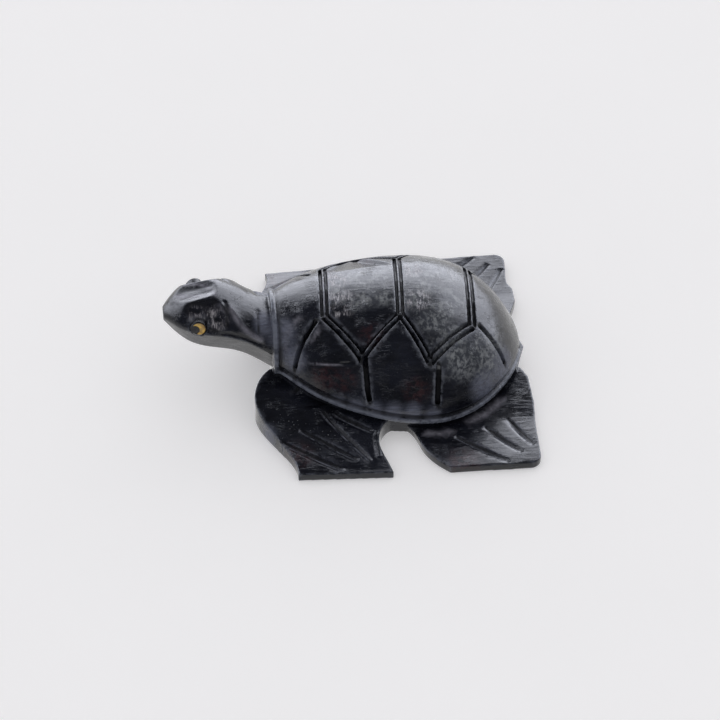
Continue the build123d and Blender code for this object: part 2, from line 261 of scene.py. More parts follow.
# The stone's mottled masks: size in mm, detail, the noise that each fades in over, and for streaks how it
# is stretched and turned, in degrees
stone_mottles = {
    "body": (5.0, 6.0, (0.36, 0.66), None),
    "grain": (0.8, 5.0, (0.42, 0.72), ((0.35, 1.6, 1.6), (8, 5, 14))),
    "file_marks": (0.7, 5.0, (0.30, 0.70), ((0.25, 2.0, 2.6), (0, 4, -6))),
    "clouds": (2.0, 8.0, (0.40, 0.60), None),
    "veins": (0.6, 7.0, (0.42, 0.60), ((1.0, 0.55, 1.0), (0, 0, 35))),
    "rust_grain": (0.8, 5.0, (0.35, 0.62), None),
    "brush": (0.5, 6.0, (0.46, 0.60), ((3.0, 0.5, 0.5), (0, 0, 12))),
    "ragged": (1.1, 6.0, (0.40, 0.58), None),
    "crazing": (0.4, 8.0, (0.52, 0.60), None),
    "breakup": (0.9, 5.0, (0.34, 0.60), None),
    "dull": (1.7, 5.0, (0.35, 0.70), None),
}

# Layers of colour over the stone's body, in order: the most that each covers, and its colour or setting
stone_layers = {
    "grain": (0.30, (0.024, 0.027, 0.038)),
    # File marks, painted lighter as a sheen
    "filed_and_sheen": (0.85, (0.150, 0.163, 0.220)),
    # The stone's pale clouds and a painted sheen on the top of the shell, in the cloud patches
    "cloud_and_sheen_ground": (0.50, (0.090, 0.098, 0.115)),
    "clouds": (0.85, "cloud_and_sheen_colour"),
    "rust": (0.75, "rust_colour"),
    "green_flecks": (0.35, (0.030, 0.044, 0.036)),
    "speckles": (0.90, (0.26, 0.27, 0.28)),
    "scratches": (0.30, (0.14, 0.15, 0.17)),
    # Scratches with a painted sheen over them, in the brushed patches
    "brushed_and_sheen_ground": (0.45, (0.105, 0.098, 0.120)),
    "brushed_and_sheen": (0.85, (0.44, 0.42, 0.44)),
    "crazing": (0.40, (0.34, 0.36, 0.37)),
    "worn_edges": (0.50, (0.12, 0.13, 0.16)),
    # Wear and a painted highlight along the rim's lip
    "rim_lip": (0.80, (0.17, 0.185, 0.23)),
    # Dust on the grooves' edges with a painted highlight, stronger on their lit side
    "edge_dust_and_highlight": (0.55, (0.17, 0.18, 0.21)),
    # Painted highlight on the outer walls of the flippers' cuts
    "painted_cut_highlight": (0.90, (0.230, 0.245, 0.290)),
    # Painted highlights and painted shade along lines on the head, neck, shell and flippers
    "painted_highlight_line": (0.85, (0.250, 0.245, 0.290)),
    "painted_shade_line": (0.92, (0.002, 0.002, 0.004)),
    # Painted shade in the grooves and cuts
    "painted_groove_shade": (0.95, (0.0015, 0.0015, 0.003)),
}

# How much the mottle breaks up the file marks, the rim's lip and the lines
filed_breakup = 0.5
lip_breakup = 0.6
line_breakup = 0.45

# How strong the pale flecks are outside their patches
stray_fleck_share = 0.25

# Roughness of the polish at its best and its worst
polish_roughness = (0.09, 0.25)

# Directions of the fine scratches: turn in degrees, stretch along them, and seed
scratch_directions = ((24.0, 0.10, 3.0), (-61.0, 0.07, 11.0), (82.0, 0.13, 23.0))

# How far noise moves the flecks, in mm
fleck_warp = (0.25, 0.25, 0.25)

# The yellow of an eye and the dark in front of its pupil, in mm: middle, then the radii that it fades between
eye_yellow = ((-20.4, 4.86, 14.0), 0.80, 0.95)
eye_shade = ((-21.44, 4.72, 13.46), 0.82, 0.98)

# The eye disc's colour outside its yellow: a painted shadow of its socket
socket_shadow = (0.012, 0.012, 0.014)

# The table: sides of its outline, how far in mm it lies under the turtle, and the shade of its tooth
table_sides = 96
table_drop = 0.02
table_tooth_shade = 0.985

# The room in the polish, by the height and the depth of a reflection: where its parts fade into each other
horizon_fade = 0.03
behind_fade = (-0.15, 0.35)
table_fade = (-0.20, -0.45)

# The light from all round, and the large lamp behind: degrees round and up, then metres
fill_colour = (0.99, 0.985, 1.0)
lamp_turn = 174
lamp_height = 24
lamp_distance = 1.2
lamp_width = 2.4
lamp_tall = 0.9
lamp_colour = (1.0, 0.985, 0.97)


class TurtleStoneSettings(bpy.types.PropertyGroup):
    """Sizes and colours of the carved stone."""

    cell_size: bpy.props.FloatProperty(
        name="Cell size", description="Spacing of the fine mesh, in mm", default=0.10, min=0.05,
    )
    edge_rounding: bpy.props.IntProperty(
        name="Edge rounding", description="How far handling has rounded the edges", default=4, min=0,
    )
    groove_softening: bpy.props.IntProperty(
        name="Groove softening", description="How far polishing has softened the grooves", default=1, min=0,
    )
    undulation_height: bpy.props.FloatProperty(
        name="Undulation height", description="Height of the hand-ground waves, in mm", default=0.09,
    )
    undulation_size: bpy.props.FloatProperty(
        name="Undulation size", description="Length of the hand-ground waves, in mm", default=4.5,
    )
    facet_height: bpy.props.FloatProperty(
        name="Facet height", description="Depth of the small ground facets, in mm", default=0.05,
    )
    facet_size: bpy.props.FloatProperty(
        name="Facet size", description="Width of the small ground facets, in mm", default=2.6,
    )
    most_triangles: bpy.props.IntProperty(
        name="Most triangles", description="Size of the finished mesh", default=185000,
    )
    deep_colour: bpy.props.FloatVectorProperty(
        name="Deep colour", description="The stone where it is darkest", subtype="COLOR", size=3,
        default=(0.0028, 0.0030, 0.0052),
    )
    slate_colour: bpy.props.FloatVectorProperty(
        name="Slate colour", description="The stone's blue-grey body", subtype="COLOR", size=3,
        default=(0.0085, 0.0095, 0.0155),
    )
    # The stone's pale clouds, with a painted sheen where the top of the shell faces the light
    cloud_and_sheen_colour: bpy.props.FloatVectorProperty(
        name="Cloud colour", description="Pale clouds where the polish has worn", subtype="COLOR", size=3,
        default=(0.250, 0.262, 0.275),
    )
    rust_colour: bpy.props.FloatVectorProperty(
        name="Rust colour", description="Brown-red mineral patches", subtype="COLOR", size=3,
        default=(0.040, 0.014, 0.016),
    )


class TurtleEyeSettings(bpy.types.PropertyGroup):
    """Colours of the eyes."""

    amber_colour: bpy.props.FloatVectorProperty(
        name="Amber colour", description="The yellow disc", subtype="COLOR", size=3,
        default=(0.68, 0.43, 0.08),
    )
    honey_colour: bpy.props.FloatVectorProperty(
        name="Honey colour", description="The darker parts of the yellow disc", subtype="COLOR", size=3,
        default=(0.33, 0.20, 0.06),
    )
    pupil_colour: bpy.props.FloatVectorProperty(
        name="Pupil colour", description="The black pupil", subtype="COLOR", size=3,
        default=(0.004, 0.004, 0.005),
    )


class TurtleStageSettings(bpy.types.PropertyGroup):
    """The camera, the lamps and the floor."""

    camera_turn: bpy.props.FloatProperty(
        name="Camera turn", description="Degrees round from the turtle's left side", default=-5.7,
    )
    camera_height: bpy.props.FloatProperty(
        name="Camera height", description="Degrees above the table", default=42.0,
    )
    camera_distance: bpy.props.FloatProperty(
        name="Camera distance", description="From the point looked at", default=0.7, unit="LENGTH",
    )
    camera_lens: bpy.props.FloatProperty(
        name="Lens", description="Focal length in mm", default=252.0,
    )
    look_right: bpy.props.FloatProperty(
        name="Look right", description="The point looked at, right of the origin", default=2.097 * mm,
        unit="LENGTH",
    )
    look_up: bpy.props.FloatProperty(
        name="Look up", description="The point looked at, above the origin", default=1.611 * mm,
        unit="LENGTH",
    )
    floor_radius: bpy.props.FloatProperty(
        name="Floor radius", description="Size of the table", default=1.6, unit="LENGTH",
    )
    floor_colour: bpy.props.FloatVectorProperty(
        name="Floor colour", description="The pale table", subtype="COLOR", size=3,
        default=(0.90, 0.895, 0.905),
    )
    floor_glow: bpy.props.FloatProperty(
        name="Floor glow", description="How much of the table's paleness is its own", default=0.30,
    )
    backdrop_colour: bpy.props.FloatVectorProperty(
        name="Backdrop colour", description="The pale background", subtype="COLOR", size=3,
        default=(0.905, 0.905, 0.915),
    )
    room_colour: bpy.props.FloatVectorProperty(
        name="Room colour", description="The dim room that the polish mirrors", subtype="COLOR", size=3,
        default=(0.085, 0.090, 0.110),
    )
    window_colour: bpy.props.FloatVectorProperty(
        name="Window colour", description="The bright wall that the polish mirrors", subtype="COLOR", size=3,
        default=(0.86, 0.89, 1.0),
    )
    window_strength: bpy.props.FloatProperty(
        name="Window strength", description="How bright the mirrored wall is", default=4.5,
    )
    window_top: bpy.props.FloatProperty(
        name="Window top", description="How high the mirrored wall reaches, as the sine of its angle",
        default=0.60,
    )
    window_fade: bpy.props.FloatProperty(
        name="Window fade", description="How softly the mirrored wall ends at its top", default=0.18,
    )
    window_side_rise: bpy.props.FloatProperty(
        name="Window side rise", description="How much higher the mirrored wall is at the sides",
        default=0.30,
    )
    fill_strength: bpy.props.FloatProperty(
        name="Fill strength", description="Light from all round", default=0.58,
    )
    lamp_power: bpy.props.FloatProperty(
        name="Lamp power", description="Power of the large lamp behind", default=3.0, unit="POWER",
    )


def add_node(tree, kind, **settings):
    """A new node of that kind, with its own settings and input values by name."""
    node = tree.nodes.new(kind)
    values = settings.pop("values", {})
    for name, value in settings.items():
        setattr(node, name, value)
    for name, value in values.items():
        node.inputs[name].default_value = value
    return node


def new_group(name, inputs, outputs):
    """A shader node group with those sockets: (name, socket type, default) each."""
    tree = bpy.data.node_groups.new(name, "ShaderNodeTree")
    for label, kind, default in inputs:
        socket = tree.interface.new_socket(label, in_out="INPUT", socket_type=kind)
        if default is not None:
            socket.default_value = default
    for label, kind in outputs:
        tree.interface.new_socket(label, in_out="OUTPUT", socket_type=kind)
    return tree, tree.nodes.new("NodeGroupInput"), tree.nodes.new("NodeGroupOutput")


def math_node(tree, operation, first, second=None, clamp=False):
    """The output of a math node whose inputs are sockets or numbers."""
    node = add_node(tree, "ShaderNodeMath", operation=operation, use_clamp=clamp)
    for index, value in enumerate((first, second)):
        if value is None:
            continue
        if isinstance(value, bpy.types.NodeSocket):
            tree.links.new(value, node.inputs[index])
        else:
            node.inputs[index].default_value = value
    return node.outputs[0]


def ramp(tree, value, low, high, to_low=0.0, to_high=1.0):
    """A smooth step of value from low to high."""
    node = add_node(tree, "ShaderNodeMapRange", interpolation_type="SMOOTHSTEP")
    tree.links.new(value, node.inputs["Value"])
    for name, end in (("From Min", low), ("From Max", high), ("To Min", to_low), ("To Max", to_high)):
        if isinstance(end, bpy.types.NodeSocket):
            tree.links.new(end, node.inputs[name])
        else:
            node.inputs[name].default_value = end
    return node.outputs["Result"]


def blend_colours(tree, share, first, second):
    """Two colours mixed by a share; each is a socket or a colour."""
    node = add_node(tree, "ShaderNodeMix", data_type="RGBA")
    tree.links.new(share, node.inputs["Factor"])
    for socket, value in ((node.inputs[6], first), (node.inputs[7], second)):
        if isinstance(value, bpy.types.NodeSocket):
            tree.links.new(value, socket)
        else:
            socket.default_value = (*value, 1)
    return node.outputs[2]


def mottle_group():
    """Soft clouds of a given size, as a mask from 0 to 1."""
    tree, start, end = new_group(
        "Mottle",
        (("Vector", "NodeSocketVector", None), ("Size", "NodeSocketFloat", 4.0),
         ("Detail", "NodeSocketFloat", 4.0), ("Low", "NodeSocketFloat", 0.45),
         ("High", "NodeSocketFloat", 0.65)),
        (("Mask", "NodeSocketFloat"),),
    )
    scale = math_node(tree, "DIVIDE", 1.0, start.outputs["Size"])
    noise = add_node(tree, "ShaderNodeTexNoise", values={"Roughness": 0.58})
    tree.links.new(start.outputs["Vector"], noise.inputs["Vector"])
    tree.links.new(scale, noise.inputs["Scale"])
    tree.links.new(start.outputs["Detail"], noise.inputs["Detail"])
    mask = ramp(tree, noise.outputs["Fac"], start.outputs["Low"], start.outputs["High"])
    tree.links.new(mask, end.inputs["Mask"])
    return tree


def fleck_group():
    """Small mineral flecks scattered through a material, as a mask from 0 to 1."""
    tree, start, end = new_group(
        "Flecks",
        (("Vector", "NodeSocketVector", None), ("Size", "NodeSocketFloat", 0.5),
         ("Radius", "NodeSocketFloat", 0.25), ("Share", "NodeSocketFloat", 0.3)),
        (("Mask", "NodeSocketFloat"),),
    )
    scale = math_node(tree, "DIVIDE", 1.0, start.outputs["Size"])
    warp = add_node(tree, "ShaderNodeTexNoise", values={"Scale": 2.5, "Detail": 2.0})
    tree.links.new(start.outputs["Vector"], warp.inputs["Vector"])
    nudge = add_node(tree, "ShaderNodeVectorMath", operation="MULTIPLY_ADD")
    tree.links.new(warp.outputs["Color"], nudge.inputs[0])
    nudge.inputs[1].default_value = fleck_warp
    tree.links.new(start.outputs["Vector"], nudge.inputs[2])
    cells = add_node(tree, "ShaderNodeTexVoronoi")
    tree.links.new(nudge.outputs[0], cells.inputs["Vector"])
    tree.links.new(scale, cells.inputs["Scale"])
    near = ramp(tree, cells.outputs["Distance"], start.outputs["Radius"], 0.02)
    pick = add_node(tree, "ShaderNodeSeparateColor")
    tree.links.new(cells.outputs["Color"], pick.inputs[0])
    chosen = math_node(tree, "LESS_THAN", pick.outputs[0], start.outputs["Share"])
    strength = math_node(tree, "MULTIPLY", near, pick.outputs[1])
    tree.links.new(math_node(tree, "MULTIPLY", strength, chosen), end.inputs["Mask"])
    return tree


def scratch_group():
    """Fine scratches in two directions, in patches, as a mask from 0 to 1."""
    tree, start, end = new_group(
        "Fine scratches",
        (("Vector", "NodeSocketVector", None), ("Size", "NodeSocketFloat", 1.0),
         ("Fineness", "NodeSocketFloat", 0.018), ("Patches", "NodeSocketFloat", 0.5)),
        (("Mask", "NodeSocketFloat"),),
    )
    lines = []
    for turn, stretch, seed in scratch_directions:
        place = add_node(tree, "ShaderNodeMapping")
        place.inputs["Rotation"].default_value = (radians(turn / 3), radians(turn / 2), radians(turn))
        place.inputs["Location"].default_value = (seed, seed, seed)
        place.inputs["Scale"].default_value = (stretch, 1.0, 1.0)
        tree.links.new(start.outputs["Vector"], place.inputs["Vector"])
        noise = add_node(tree, "ShaderNodeTexNoise", values={"Detail": 3.0, "Roughness": 0.55})
        tree.links.new(place.outputs[0], noise.inputs["Vector"])
        tree.links.new(math_node(tree, "DIVIDE", 1.6, start.outputs["Size"]), noise.inputs["Scale"])
        away = math_node(tree, "ABSOLUTE", math_node(tree, "SUBTRACT", noise.outputs["Fac"], 0.5))
        lines.append(ramp(tree, away, start.outputs["Fineness"], 0.0))
    both = math_node(tree, "MAXIMUM", math_node(tree, "MAXIMUM", lines[0], lines[1]), lines[2])
    patch = add_node(tree, "ShaderNodeTexNoise", values={"Scale": 0.45, "Detail": 3.0})
    tree.links.new(start.outputs["Vector"], patch.inputs["Vector"])
    spread = math_node(tree, "ADD", start.outputs["Patches"], 0.12)
    where = ramp(tree, patch.outputs["Fac"], start.outputs["Patches"], spread)
    tree.links.new(math_node(tree, "MULTIPLY", both, where), end.inputs["Mask"])
    return tree


def shared_group(name):
    """A node group of this scene, made the first time it is asked for."""
    makers = {"Mottle": mottle_group, "Flecks": fleck_group, "Fine scratches": scratch_group}
    return bpy.data.node_groups.get(name) or makers[name]()


def use_group(tree, name, vector, **values):
    """The mask of a shared group, read at vector, with its values."""
    node = add_node(tree, "ShaderNodeGroup", node_tree=shared_group(name))
    tree.links.new(vector, node.inputs["Vector"])
    for label, value in values.items():
        node.inputs[label].default_value = value
    return node.outputs["Mask"]


def start_material(name):
    """A new material: its tree, its shader, and object coordinates in mm."""
    material = bpy.data.materials.new(name)
    material.use_nodes = True
    tree = material.node_tree
    shader = tree.nodes["Principled BSDF"]
    place = add_node(tree, "ShaderNodeTexCoord")
    scale = add_node(tree, "ShaderNodeVectorMath", operation="SCALE", values={"Scale": 1 / mm})
    tree.links.new(place.outputs["Object"], scale.inputs[0])
    return material, tree, shader, scale.outputs[0]


def stretched(tree, vector, scale, turn=(0, 0, 0)):
    """Coordinates stretched and turned, for streaks."""
    node = add_node(tree, "ShaderNodeMapping")
    node.inputs["Scale"].default_value = scale
    node.inputs["Rotation"].default_value = tuple(radians(angle) for angle in turn)
    tree.links.new(vector, node.inputs["Vector"])
    return node.outputs[0]


def attribute(tree, name):
    """A value kept on the mesh's points."""
    return add_node(tree, "ShaderNodeAttribute", attribute_name=name).outputs["Fac"]


def bump(tree, shader, layers):
    """Height layers one over the other: (height socket, strength, depth in mm) each."""
    normal = None
    for height, strength, depth in layers:
        node = add_node(tree, "ShaderNodeBump", values={"Strength": strength, "Distance": depth * mm})
        tree.links.new(height, node.inputs["Height"])
        if normal is not None:
            tree.links.new(normal, node.inputs["Normal"])
        normal = node.outputs["Normal"]
    tree.links.new(normal, shader.inputs["Normal"])


def stone_masks(tree, place, mottles):
    """The masks of the stone's layers of colour and of its bumps, by name."""

    def both(first, second):
        return math_node(tree, "MULTIPLY", first, second)

    def where(mask, name):
        return both(mask, attribute(tree, name))

    def partly(mask, share):
        """The mask weakened to that share, so that it never falls to 0."""
        return math_node(tree, "ADD", both(mask, share), 1 - share)

    pale_flecks = use_group(tree, "Flecks", place, Size=0.55, Radius=0.24, Share=0.45)
    green_flecks = use_group(tree, "Flecks", stretched(tree, place, (1.0, 1.0, 1.0), (40, 10, 70)),
                             Size=0.45, Radius=0.38, Share=0.30)
    stray_flecks = both(pale_flecks, stray_fleck_share)
    broken = partly(mottles["breakup"], line_breakup)
    masks = {
        "grain": mottles["grain"],
        "filed_and_sheen": both(attribute(tree, "filed_and_sheen_patch"), partly(mottles["file_marks"], filed_breakup)),
        "cloud_and_sheen_ground": attribute(tree, "cloud_and_sheen_patch"),
        "clouds": where(both(mottles["clouds"], mottles["veins"]), "cloud_and_sheen_patch"),
        "rust": where(mottles["rust_grain"], "rust_patch"),
        "green_flecks": green_flecks,
        "speckles": math_node(tree, "MAXIMUM", where(pale_flecks, "speckled_patch"), stray_flecks),
        "pale_flecks": pale_flecks,
        "scratches": use_group(tree, "Fine scratches", place, Size=1.0, Fineness=0.010, Patches=0.52),
        "brushed_and_sheen_ground": where(mottles["ragged"], "scratch_and_sheen_patch"),
        "brushed_and_sheen": where(both(mottles["brush"], mottles["ragged"]), "scratch_and_sheen_patch"),
        "crazing": where(both(mottles["crazing"], mottles["ragged"]), "cloud_and_sheen_patch"),
        "worn_edges": where(mottles["breakup"], "worn_edge"),
        "rim_lip": where(partly(mottles["breakup"], lip_breakup), "rim_lip"),
        "edge_dust_and_highlight": where(mottles["breakup"], "groove_edge"),
        "file_bumps": where(mottles["file_marks"], "filed_and_sheen_patch"),
        "painted_groove_shade": attribute(tree, "painted_groove_shade"),
    }
    for name in ("painted_cut_highlight", "painted_highlight_line", "painted_shade_line"):
        masks[name] = where(broken, name)
    return masks


def stone_material(settings):
    """Dark blue-grey polished stone with clouds, flecks, streaks, worn edges, painted shade in its grooves,
    and painted highlights and sheen.
    """
    material, tree, shader, place = start_material("Polished slate stone")
    mottles = {}
    for name, (size, detail, (low, high), streak) in stone_mottles.items():
        vector = stretched(tree, place, *streak) if streak else place
        mottles[name] = use_group(tree, "Mottle", vector, Size=size, Detail=detail, Low=low, High=high)
    masks = stone_masks(tree, place, mottles)

    colour = blend_colours(tree, mottles["body"], settings.deep_colour, settings.slate_colour)
    for name, (share, paint) in stone_layers.items():
        if isinstance(paint, str):
            paint = getattr(settings, paint)
        colour = blend_colours(tree, math_node(tree, "MULTIPLY", masks[name], share), colour, paint)
    tree.links.new(colour, shader.inputs["Base Color"])

    rough = ramp(tree, mottles["dull"], 0.0, 1.0, *polish_roughness)
    for mask, share in (
        (masks["painted_groove_shade"], 0.35), (attribute(tree, "painted_shade_line"), 0.35),
        (attribute(tree, "scratch_and_sheen_patch"), 0.10), (attribute(tree, "filed_and_sheen_patch"), 0.22),
        (masks["worn_edges"], 0.10),
    ):
        rough = math_node(tree, "ADD", rough, math_node(tree, "MULTIPLY", mask, share), clamp=True)
    tree.links.new(rough, shader.inputs["Roughness"])

    fine = add_node(tree, "ShaderNodeTexNoise", values={"Scale": 5.0, "Detail": 6.0, "Roughness": 0.6})
    tree.links.new(place, fine.inputs["Vector"])
    bump(tree, shader, (
        (masks["grain"], 0.5, 0.03),
        (fine.outputs["Fac"], 0.5, 0.03),
        (masks["file_bumps"], 0.6, 0.03),
        (masks["pale_flecks"], 0.3, 0.01),
        (math_node(tree, "SUBTRACT", 1.0, masks["scratches"]), 0.6, 0.02),
        (math_node(tree, "SUBTRACT", 1.0, masks["brushed_and_sheen"]), 0.8, 0.03),
    ))
    return material


def near_place(tree, place, middle, low, high):
    """1 nearer to a place than low, 0 beyond high; the same on both sides of the turtle."""
    parts = add_node(tree, "ShaderNodeSeparateXYZ")
    tree.links.new(place, parts.inputs[0])
    one_side = add_node(tree, "ShaderNodeCombineXYZ")
    tree.links.new(parts.outputs[0], one_side.inputs[0])
    tree.links.new(math_node(tree, "ABSOLUTE", parts.outputs[1]), one_side.inputs[1])
    tree.links.new(parts.outputs[2], one_side.inputs[2])
    away = add_node(tree, "ShaderNodeVectorMath", operation="DISTANCE")
    tree.links.new(one_side.outputs[0], away.inputs[0])
    away.inputs[1].default_value = middle
    return ramp(tree, away.outputs["Value"], high, low)


def amber_material(settings):
    """The yellow of the eyes, darker in clouds, dark round its rim and in front of the pupil."""
    material, tree, shader, place = start_material("Amber eye inlay")
    clouds = use_group(tree, "Mottle", place, Size=0.7, Detail=5.0, Low=0.36, High=0.62)
    colour = blend_colours(tree, clouds, settings.honey_colour, settings.amber_colour)
    scratches = use_group(tree, "Fine scratches", place, Size=0.4, Fineness=0.02, Patches=0.42)
    colour = blend_colours(tree, math_node(tree, "MULTIPLY", scratches, 0.3), colour, (0.75, 0.62, 0.35))
    shade = math_node(tree, "SUBTRACT", 1.0, near_place(tree, place, *eye_shade))
    yellow = math_node(tree, "MULTIPLY", near_place(tree, place, *eye_yellow), shade)
    colour = blend_colours(tree, yellow, socket_shadow, colour)
    tree.links.new(colour, shader.inputs["Base Color"])
    tree.links.new(ramp(tree, clouds, 0.0, 1.0, 0.30, 0.18), shader.inputs["Roughness"])
    bump(tree, shader, ((clouds, 0.4, 0.02), (math_node(tree, "SUBTRACT", 1.0, scratches), 0.4, 0.01)))
    return material


def pupil_material(settings):
    """The glossy black of the pupils."""
    material, tree, shader, place = start_material("Black pupil")
    clouds = use_group(tree, "Mottle", place, Size=0.4, Detail=4.0, Low=0.35, High=0.7)
    colour = blend_colours(tree, clouds, settings.pupil_colour, (0.010, 0.010, 0.012))
    tree.links.new(colour, shader.inputs["Base Color"])
    scratches = use_group(tree, "Fine scratches", place, Size=0.3, Fineness=0.02, Patches=0.45)
    tree.links.new(ramp(tree, scratches, 0.0, 1.0, 0.14, 0.40), shader.inputs["Roughness"])
    bump(tree, shader, ((clouds, 0.3, 0.01), (math_node(tree, "SUBTRACT", 1.0, scratches), 0.4, 0.01)))
    return material


def floor_material(settings):
    """A plain pale table top with a faint tooth."""
    material, tree, shader, place = start_material("Pale table top")
    paper = use_group(tree, "Mottle", place, Size=30.0, Detail=3.0, Low=0.2, High=0.8)
    low = tuple(channel * table_tooth_shade for channel in settings.floor_colour)
    tree.links.new(blend_colours(tree, paper, low, settings.floor_colour), shader.inputs["Base Color"])
    shader.inputs["Roughness"].default_value = 0.85
    shader.inputs["Specular IOR Level"].default_value = 0.1
    rays = add_node(tree, "ShaderNodeLightPath")
    seen = math_node(tree, "MAXIMUM", rays.outputs["Is Camera Ray"], rays.outputs["Is Transmission Ray"])
    shader.inputs["Emission Color"].default_value = (*settings.floor_colour, 1)
    tree.links.new(math_node(tree, "MULTIPLY", seen, settings.floor_glow), shader.inputs["Emission Strength"])
    return material


def hand_ground_tree():
    """Geometry nodes that round the edges of a fine mesh and give its faces hand-ground waves and facets."""
    tree = bpy.data.node_groups.new("Hand-ground stone", "GeometryNodeTree")
    face = tree.interface
    face.new_socket("Geometry", in_out="INPUT", socket_type="NodeSocketGeometry")
    inputs = (
        ("Edge rounding", "NodeSocketInt"), ("Groove softening", "NodeSocketInt"),
        ("Undulation height", "NodeSocketFloat"), ("Undulation size", "NodeSocketFloat"),
        ("Facet height", "NodeSocketFloat"), ("Facet size", "NodeSocketFloat"),
        ("Material", "NodeSocketMaterial"),
    )
    for name, kind in inputs:
        face.new_socket(name, in_out="INPUT", socket_type=kind)
    face.new_socket("Geometry", in_out="OUTPUT", socket_type="NodeSocketGeometry")
    start = tree.nodes.new("NodeGroupInput")
    end = tree.nodes.new("NodeGroupOutput")
    links = tree.links

    def named(name):
        node = add_node(tree, "GeometryNodeInputNamedAttribute", data_type="FLOAT")
        node.inputs["Name"].default_value = name
        return node.outputs["Attribute"]

    def blurred(geometry, rounds, weight):
        """Points drawn towards their neighbours."""
        blur = add_node(tree, "GeometryNodeBlurAttribute", data_type="FLOAT_VECTOR")
        links.new(tree.nodes.new("GeometryNodeInputPosition").outputs[0], blur.inputs["Value"])
        links.new(rounds, blur.inputs["Iterations"])
        if weight is not None:
            links.new(weight, blur.inputs["Weight"])
        move = tree.nodes.new("GeometryNodeSetPosition")
        links.new(geometry, move.inputs["Geometry"])
        links.new(blur.outputs[0], move.inputs["Position"])
        return move.outputs["Geometry"]

    rounded = blurred(start.outputs["Geometry"], start.outputs["Edge rounding"], named("open_face"))
    softened = blurred(rounded, start.outputs["Groove softening"], None)

    wave = add_node(tree, "ShaderNodeTexNoise", values={"Detail": 2.0, "Roughness": 0.4})
    links.new(math_node(tree, "DIVIDE", 1.0, start.outputs["Undulation size"]), wave.inputs["Scale"])
    wave_lift = math_node(tree, "MULTIPLY", math_node(tree, "SUBTRACT", wave.outputs["Fac"], 0.5),
                          start.outputs["Undulation height"])
    facet = add_node(tree, "ShaderNodeTexVoronoi", feature="SMOOTH_F1", values={"Smoothness": 0.35})
    links.new(math_node(tree, "DIVIDE", 1.0, start.outputs["Facet size"]), facet.inputs["Scale"])
    facet_lift = math_node(tree, "MULTIPLY", math_node(tree, "SUBTRACT", facet.outputs["Distance"], 0.5),
                           start.outputs["Facet height"])
    lift = math_node(tree, "MULTIPLY", math_node(tree, "ADD", wave_lift, facet_lift), named("lift"))
    along = add_node(tree, "ShaderNodeVectorMath", operation="SCALE")
    links.new(tree.nodes.new("GeometryNodeInputNormal").outputs[0], along.inputs[0])
    links.new(lift, along.inputs["Scale"])
    move = tree.nodes.new("GeometryNodeSetPosition")
    links.new(softened, move.inputs["Geometry"])
    links.new(along.outputs[0], move.inputs["Offset"])

    real = tree.nodes.new("GeometryNodeRealizeInstances")
    links.new(move.outputs["Geometry"], real.inputs["Geometry"])
    paint = tree.nodes.new("GeometryNodeSetMaterial")
    links.new(real.outputs["Geometry"], paint.inputs["Geometry"])
    links.new(start.outputs["Material"], paint.inputs["Material"])
    links.new(paint.outputs["Geometry"], end.inputs["Geometry"])
    return tree


def set_inputs(modifier, values):
    """Sets a Geometry Nodes modifier's inputs by their names."""
    for item in modifier.node_group.interface.items_tree:
        if item.item_type == "SOCKET" and item.in_out == "INPUT" and item.name in values:
            modifier[item.identifier] = values[item.name]


def evaluated_mesh(piece):
    """The piece's mesh with its modifiers applied, as a new mesh."""
    graph = bpy.context.evaluated_depsgraph_get()
    graph.update()
    return bpy.data.meshes.new_from_object(piece.evaluated_get(graph), depsgraph=graph)


def vectors_of(items, name):
    """One vector of each point of a mesh, as an array."""
    flat = np.empty(len(items) * 3, np.float32)
    items.foreach_get(name, flat)
    return flat.reshape(-1, 3).astype(np.float64)


def keep_value(mesh, name, values):
    """Stores one number for each point of a mesh."""
    layer = mesh.attributes.new(name, "FLOAT", "POINT")
    layer.data.foreach_set("value", np.ascontiguousarray(values, dtype=np.float32))


def new_object(name, data):
    """A new object in the scene."""
    thing = bpy.data.objects.new(name, data)
    bpy.context.scene.collection.objects.link(thing)
    return thing


def on_plan(share, side, half_span):
    """A place on the plan, from shares of the shell's length and of a half width."""
    return np.array((shell_front + shell_length * share[0], side * half_span * share[1]))


def groove_lines():
    """Every groove: its two ends on the plan in mm, and its strokes' offset and half width."""
    for near, far in zip(near_upper_shares, far_upper_shares):
        yield on_plan(near, -1, shell_half_width), on_plan(far, 1, shell_half_width), back_stroke
    for side, upper_shares, front_half_span, hind_half_span in sides:
        back = []
        for front, lower, rear in zip(upper_shares[:-1], lower_shares, upper_shares[1:]):
            back += [(front, lower), (lower, rear)]
        for shares, half_width, strokes in (
            (back, shell_half_width, back_stroke),
            (side_groove_shares, shell_half_width, side_stroke),
            (front_flipper_groove_shares, front_half_span, flipper_stroke),
            (hind_flipper_groove_shares, hind_half_span, flipper_stroke),
        ):
            for start, end in shares:
                yield on_plan(start, side, half_width), on_plan(end, side, half_width), strokes


def smooth_step(values, low, high):
    """0 below low, 1 above high and smooth between."""
    share = np.clip((values - low) / (high - low), 0, 1)
    return share * share * (3 - 2 * share)


def band(values, half_width, middle=0.0):
    """1 at the middle, falling away smoothly on both sides of it."""
    return np.exp(-(((values - middle) / half_width) ** 2))


def on_left(points):
    """The points, with those of the turtle's right side mirrored to its left."""
    return points * (1, 0, 1) - np.abs(points) * (0, 1, 0)


def away_from_line(points, start, end):
    """From the nearest place on a straight stretch to each point."""
    run = end - start
    share = np.clip(((points - start) @ run) / (run @ run), 0, 1)
    return points - start - share[:, None] * run


def path_distance(points, path):
    """How far each point is from a path of straight stretches."""
    nearest = np.full(len(points), np.inf)
    for start, end in zip(path[:-1], path[1:]):
        nearest = np.minimum(nearest, np.linalg.norm(away_from_line(points, start, end), axis=1))
    return nearest


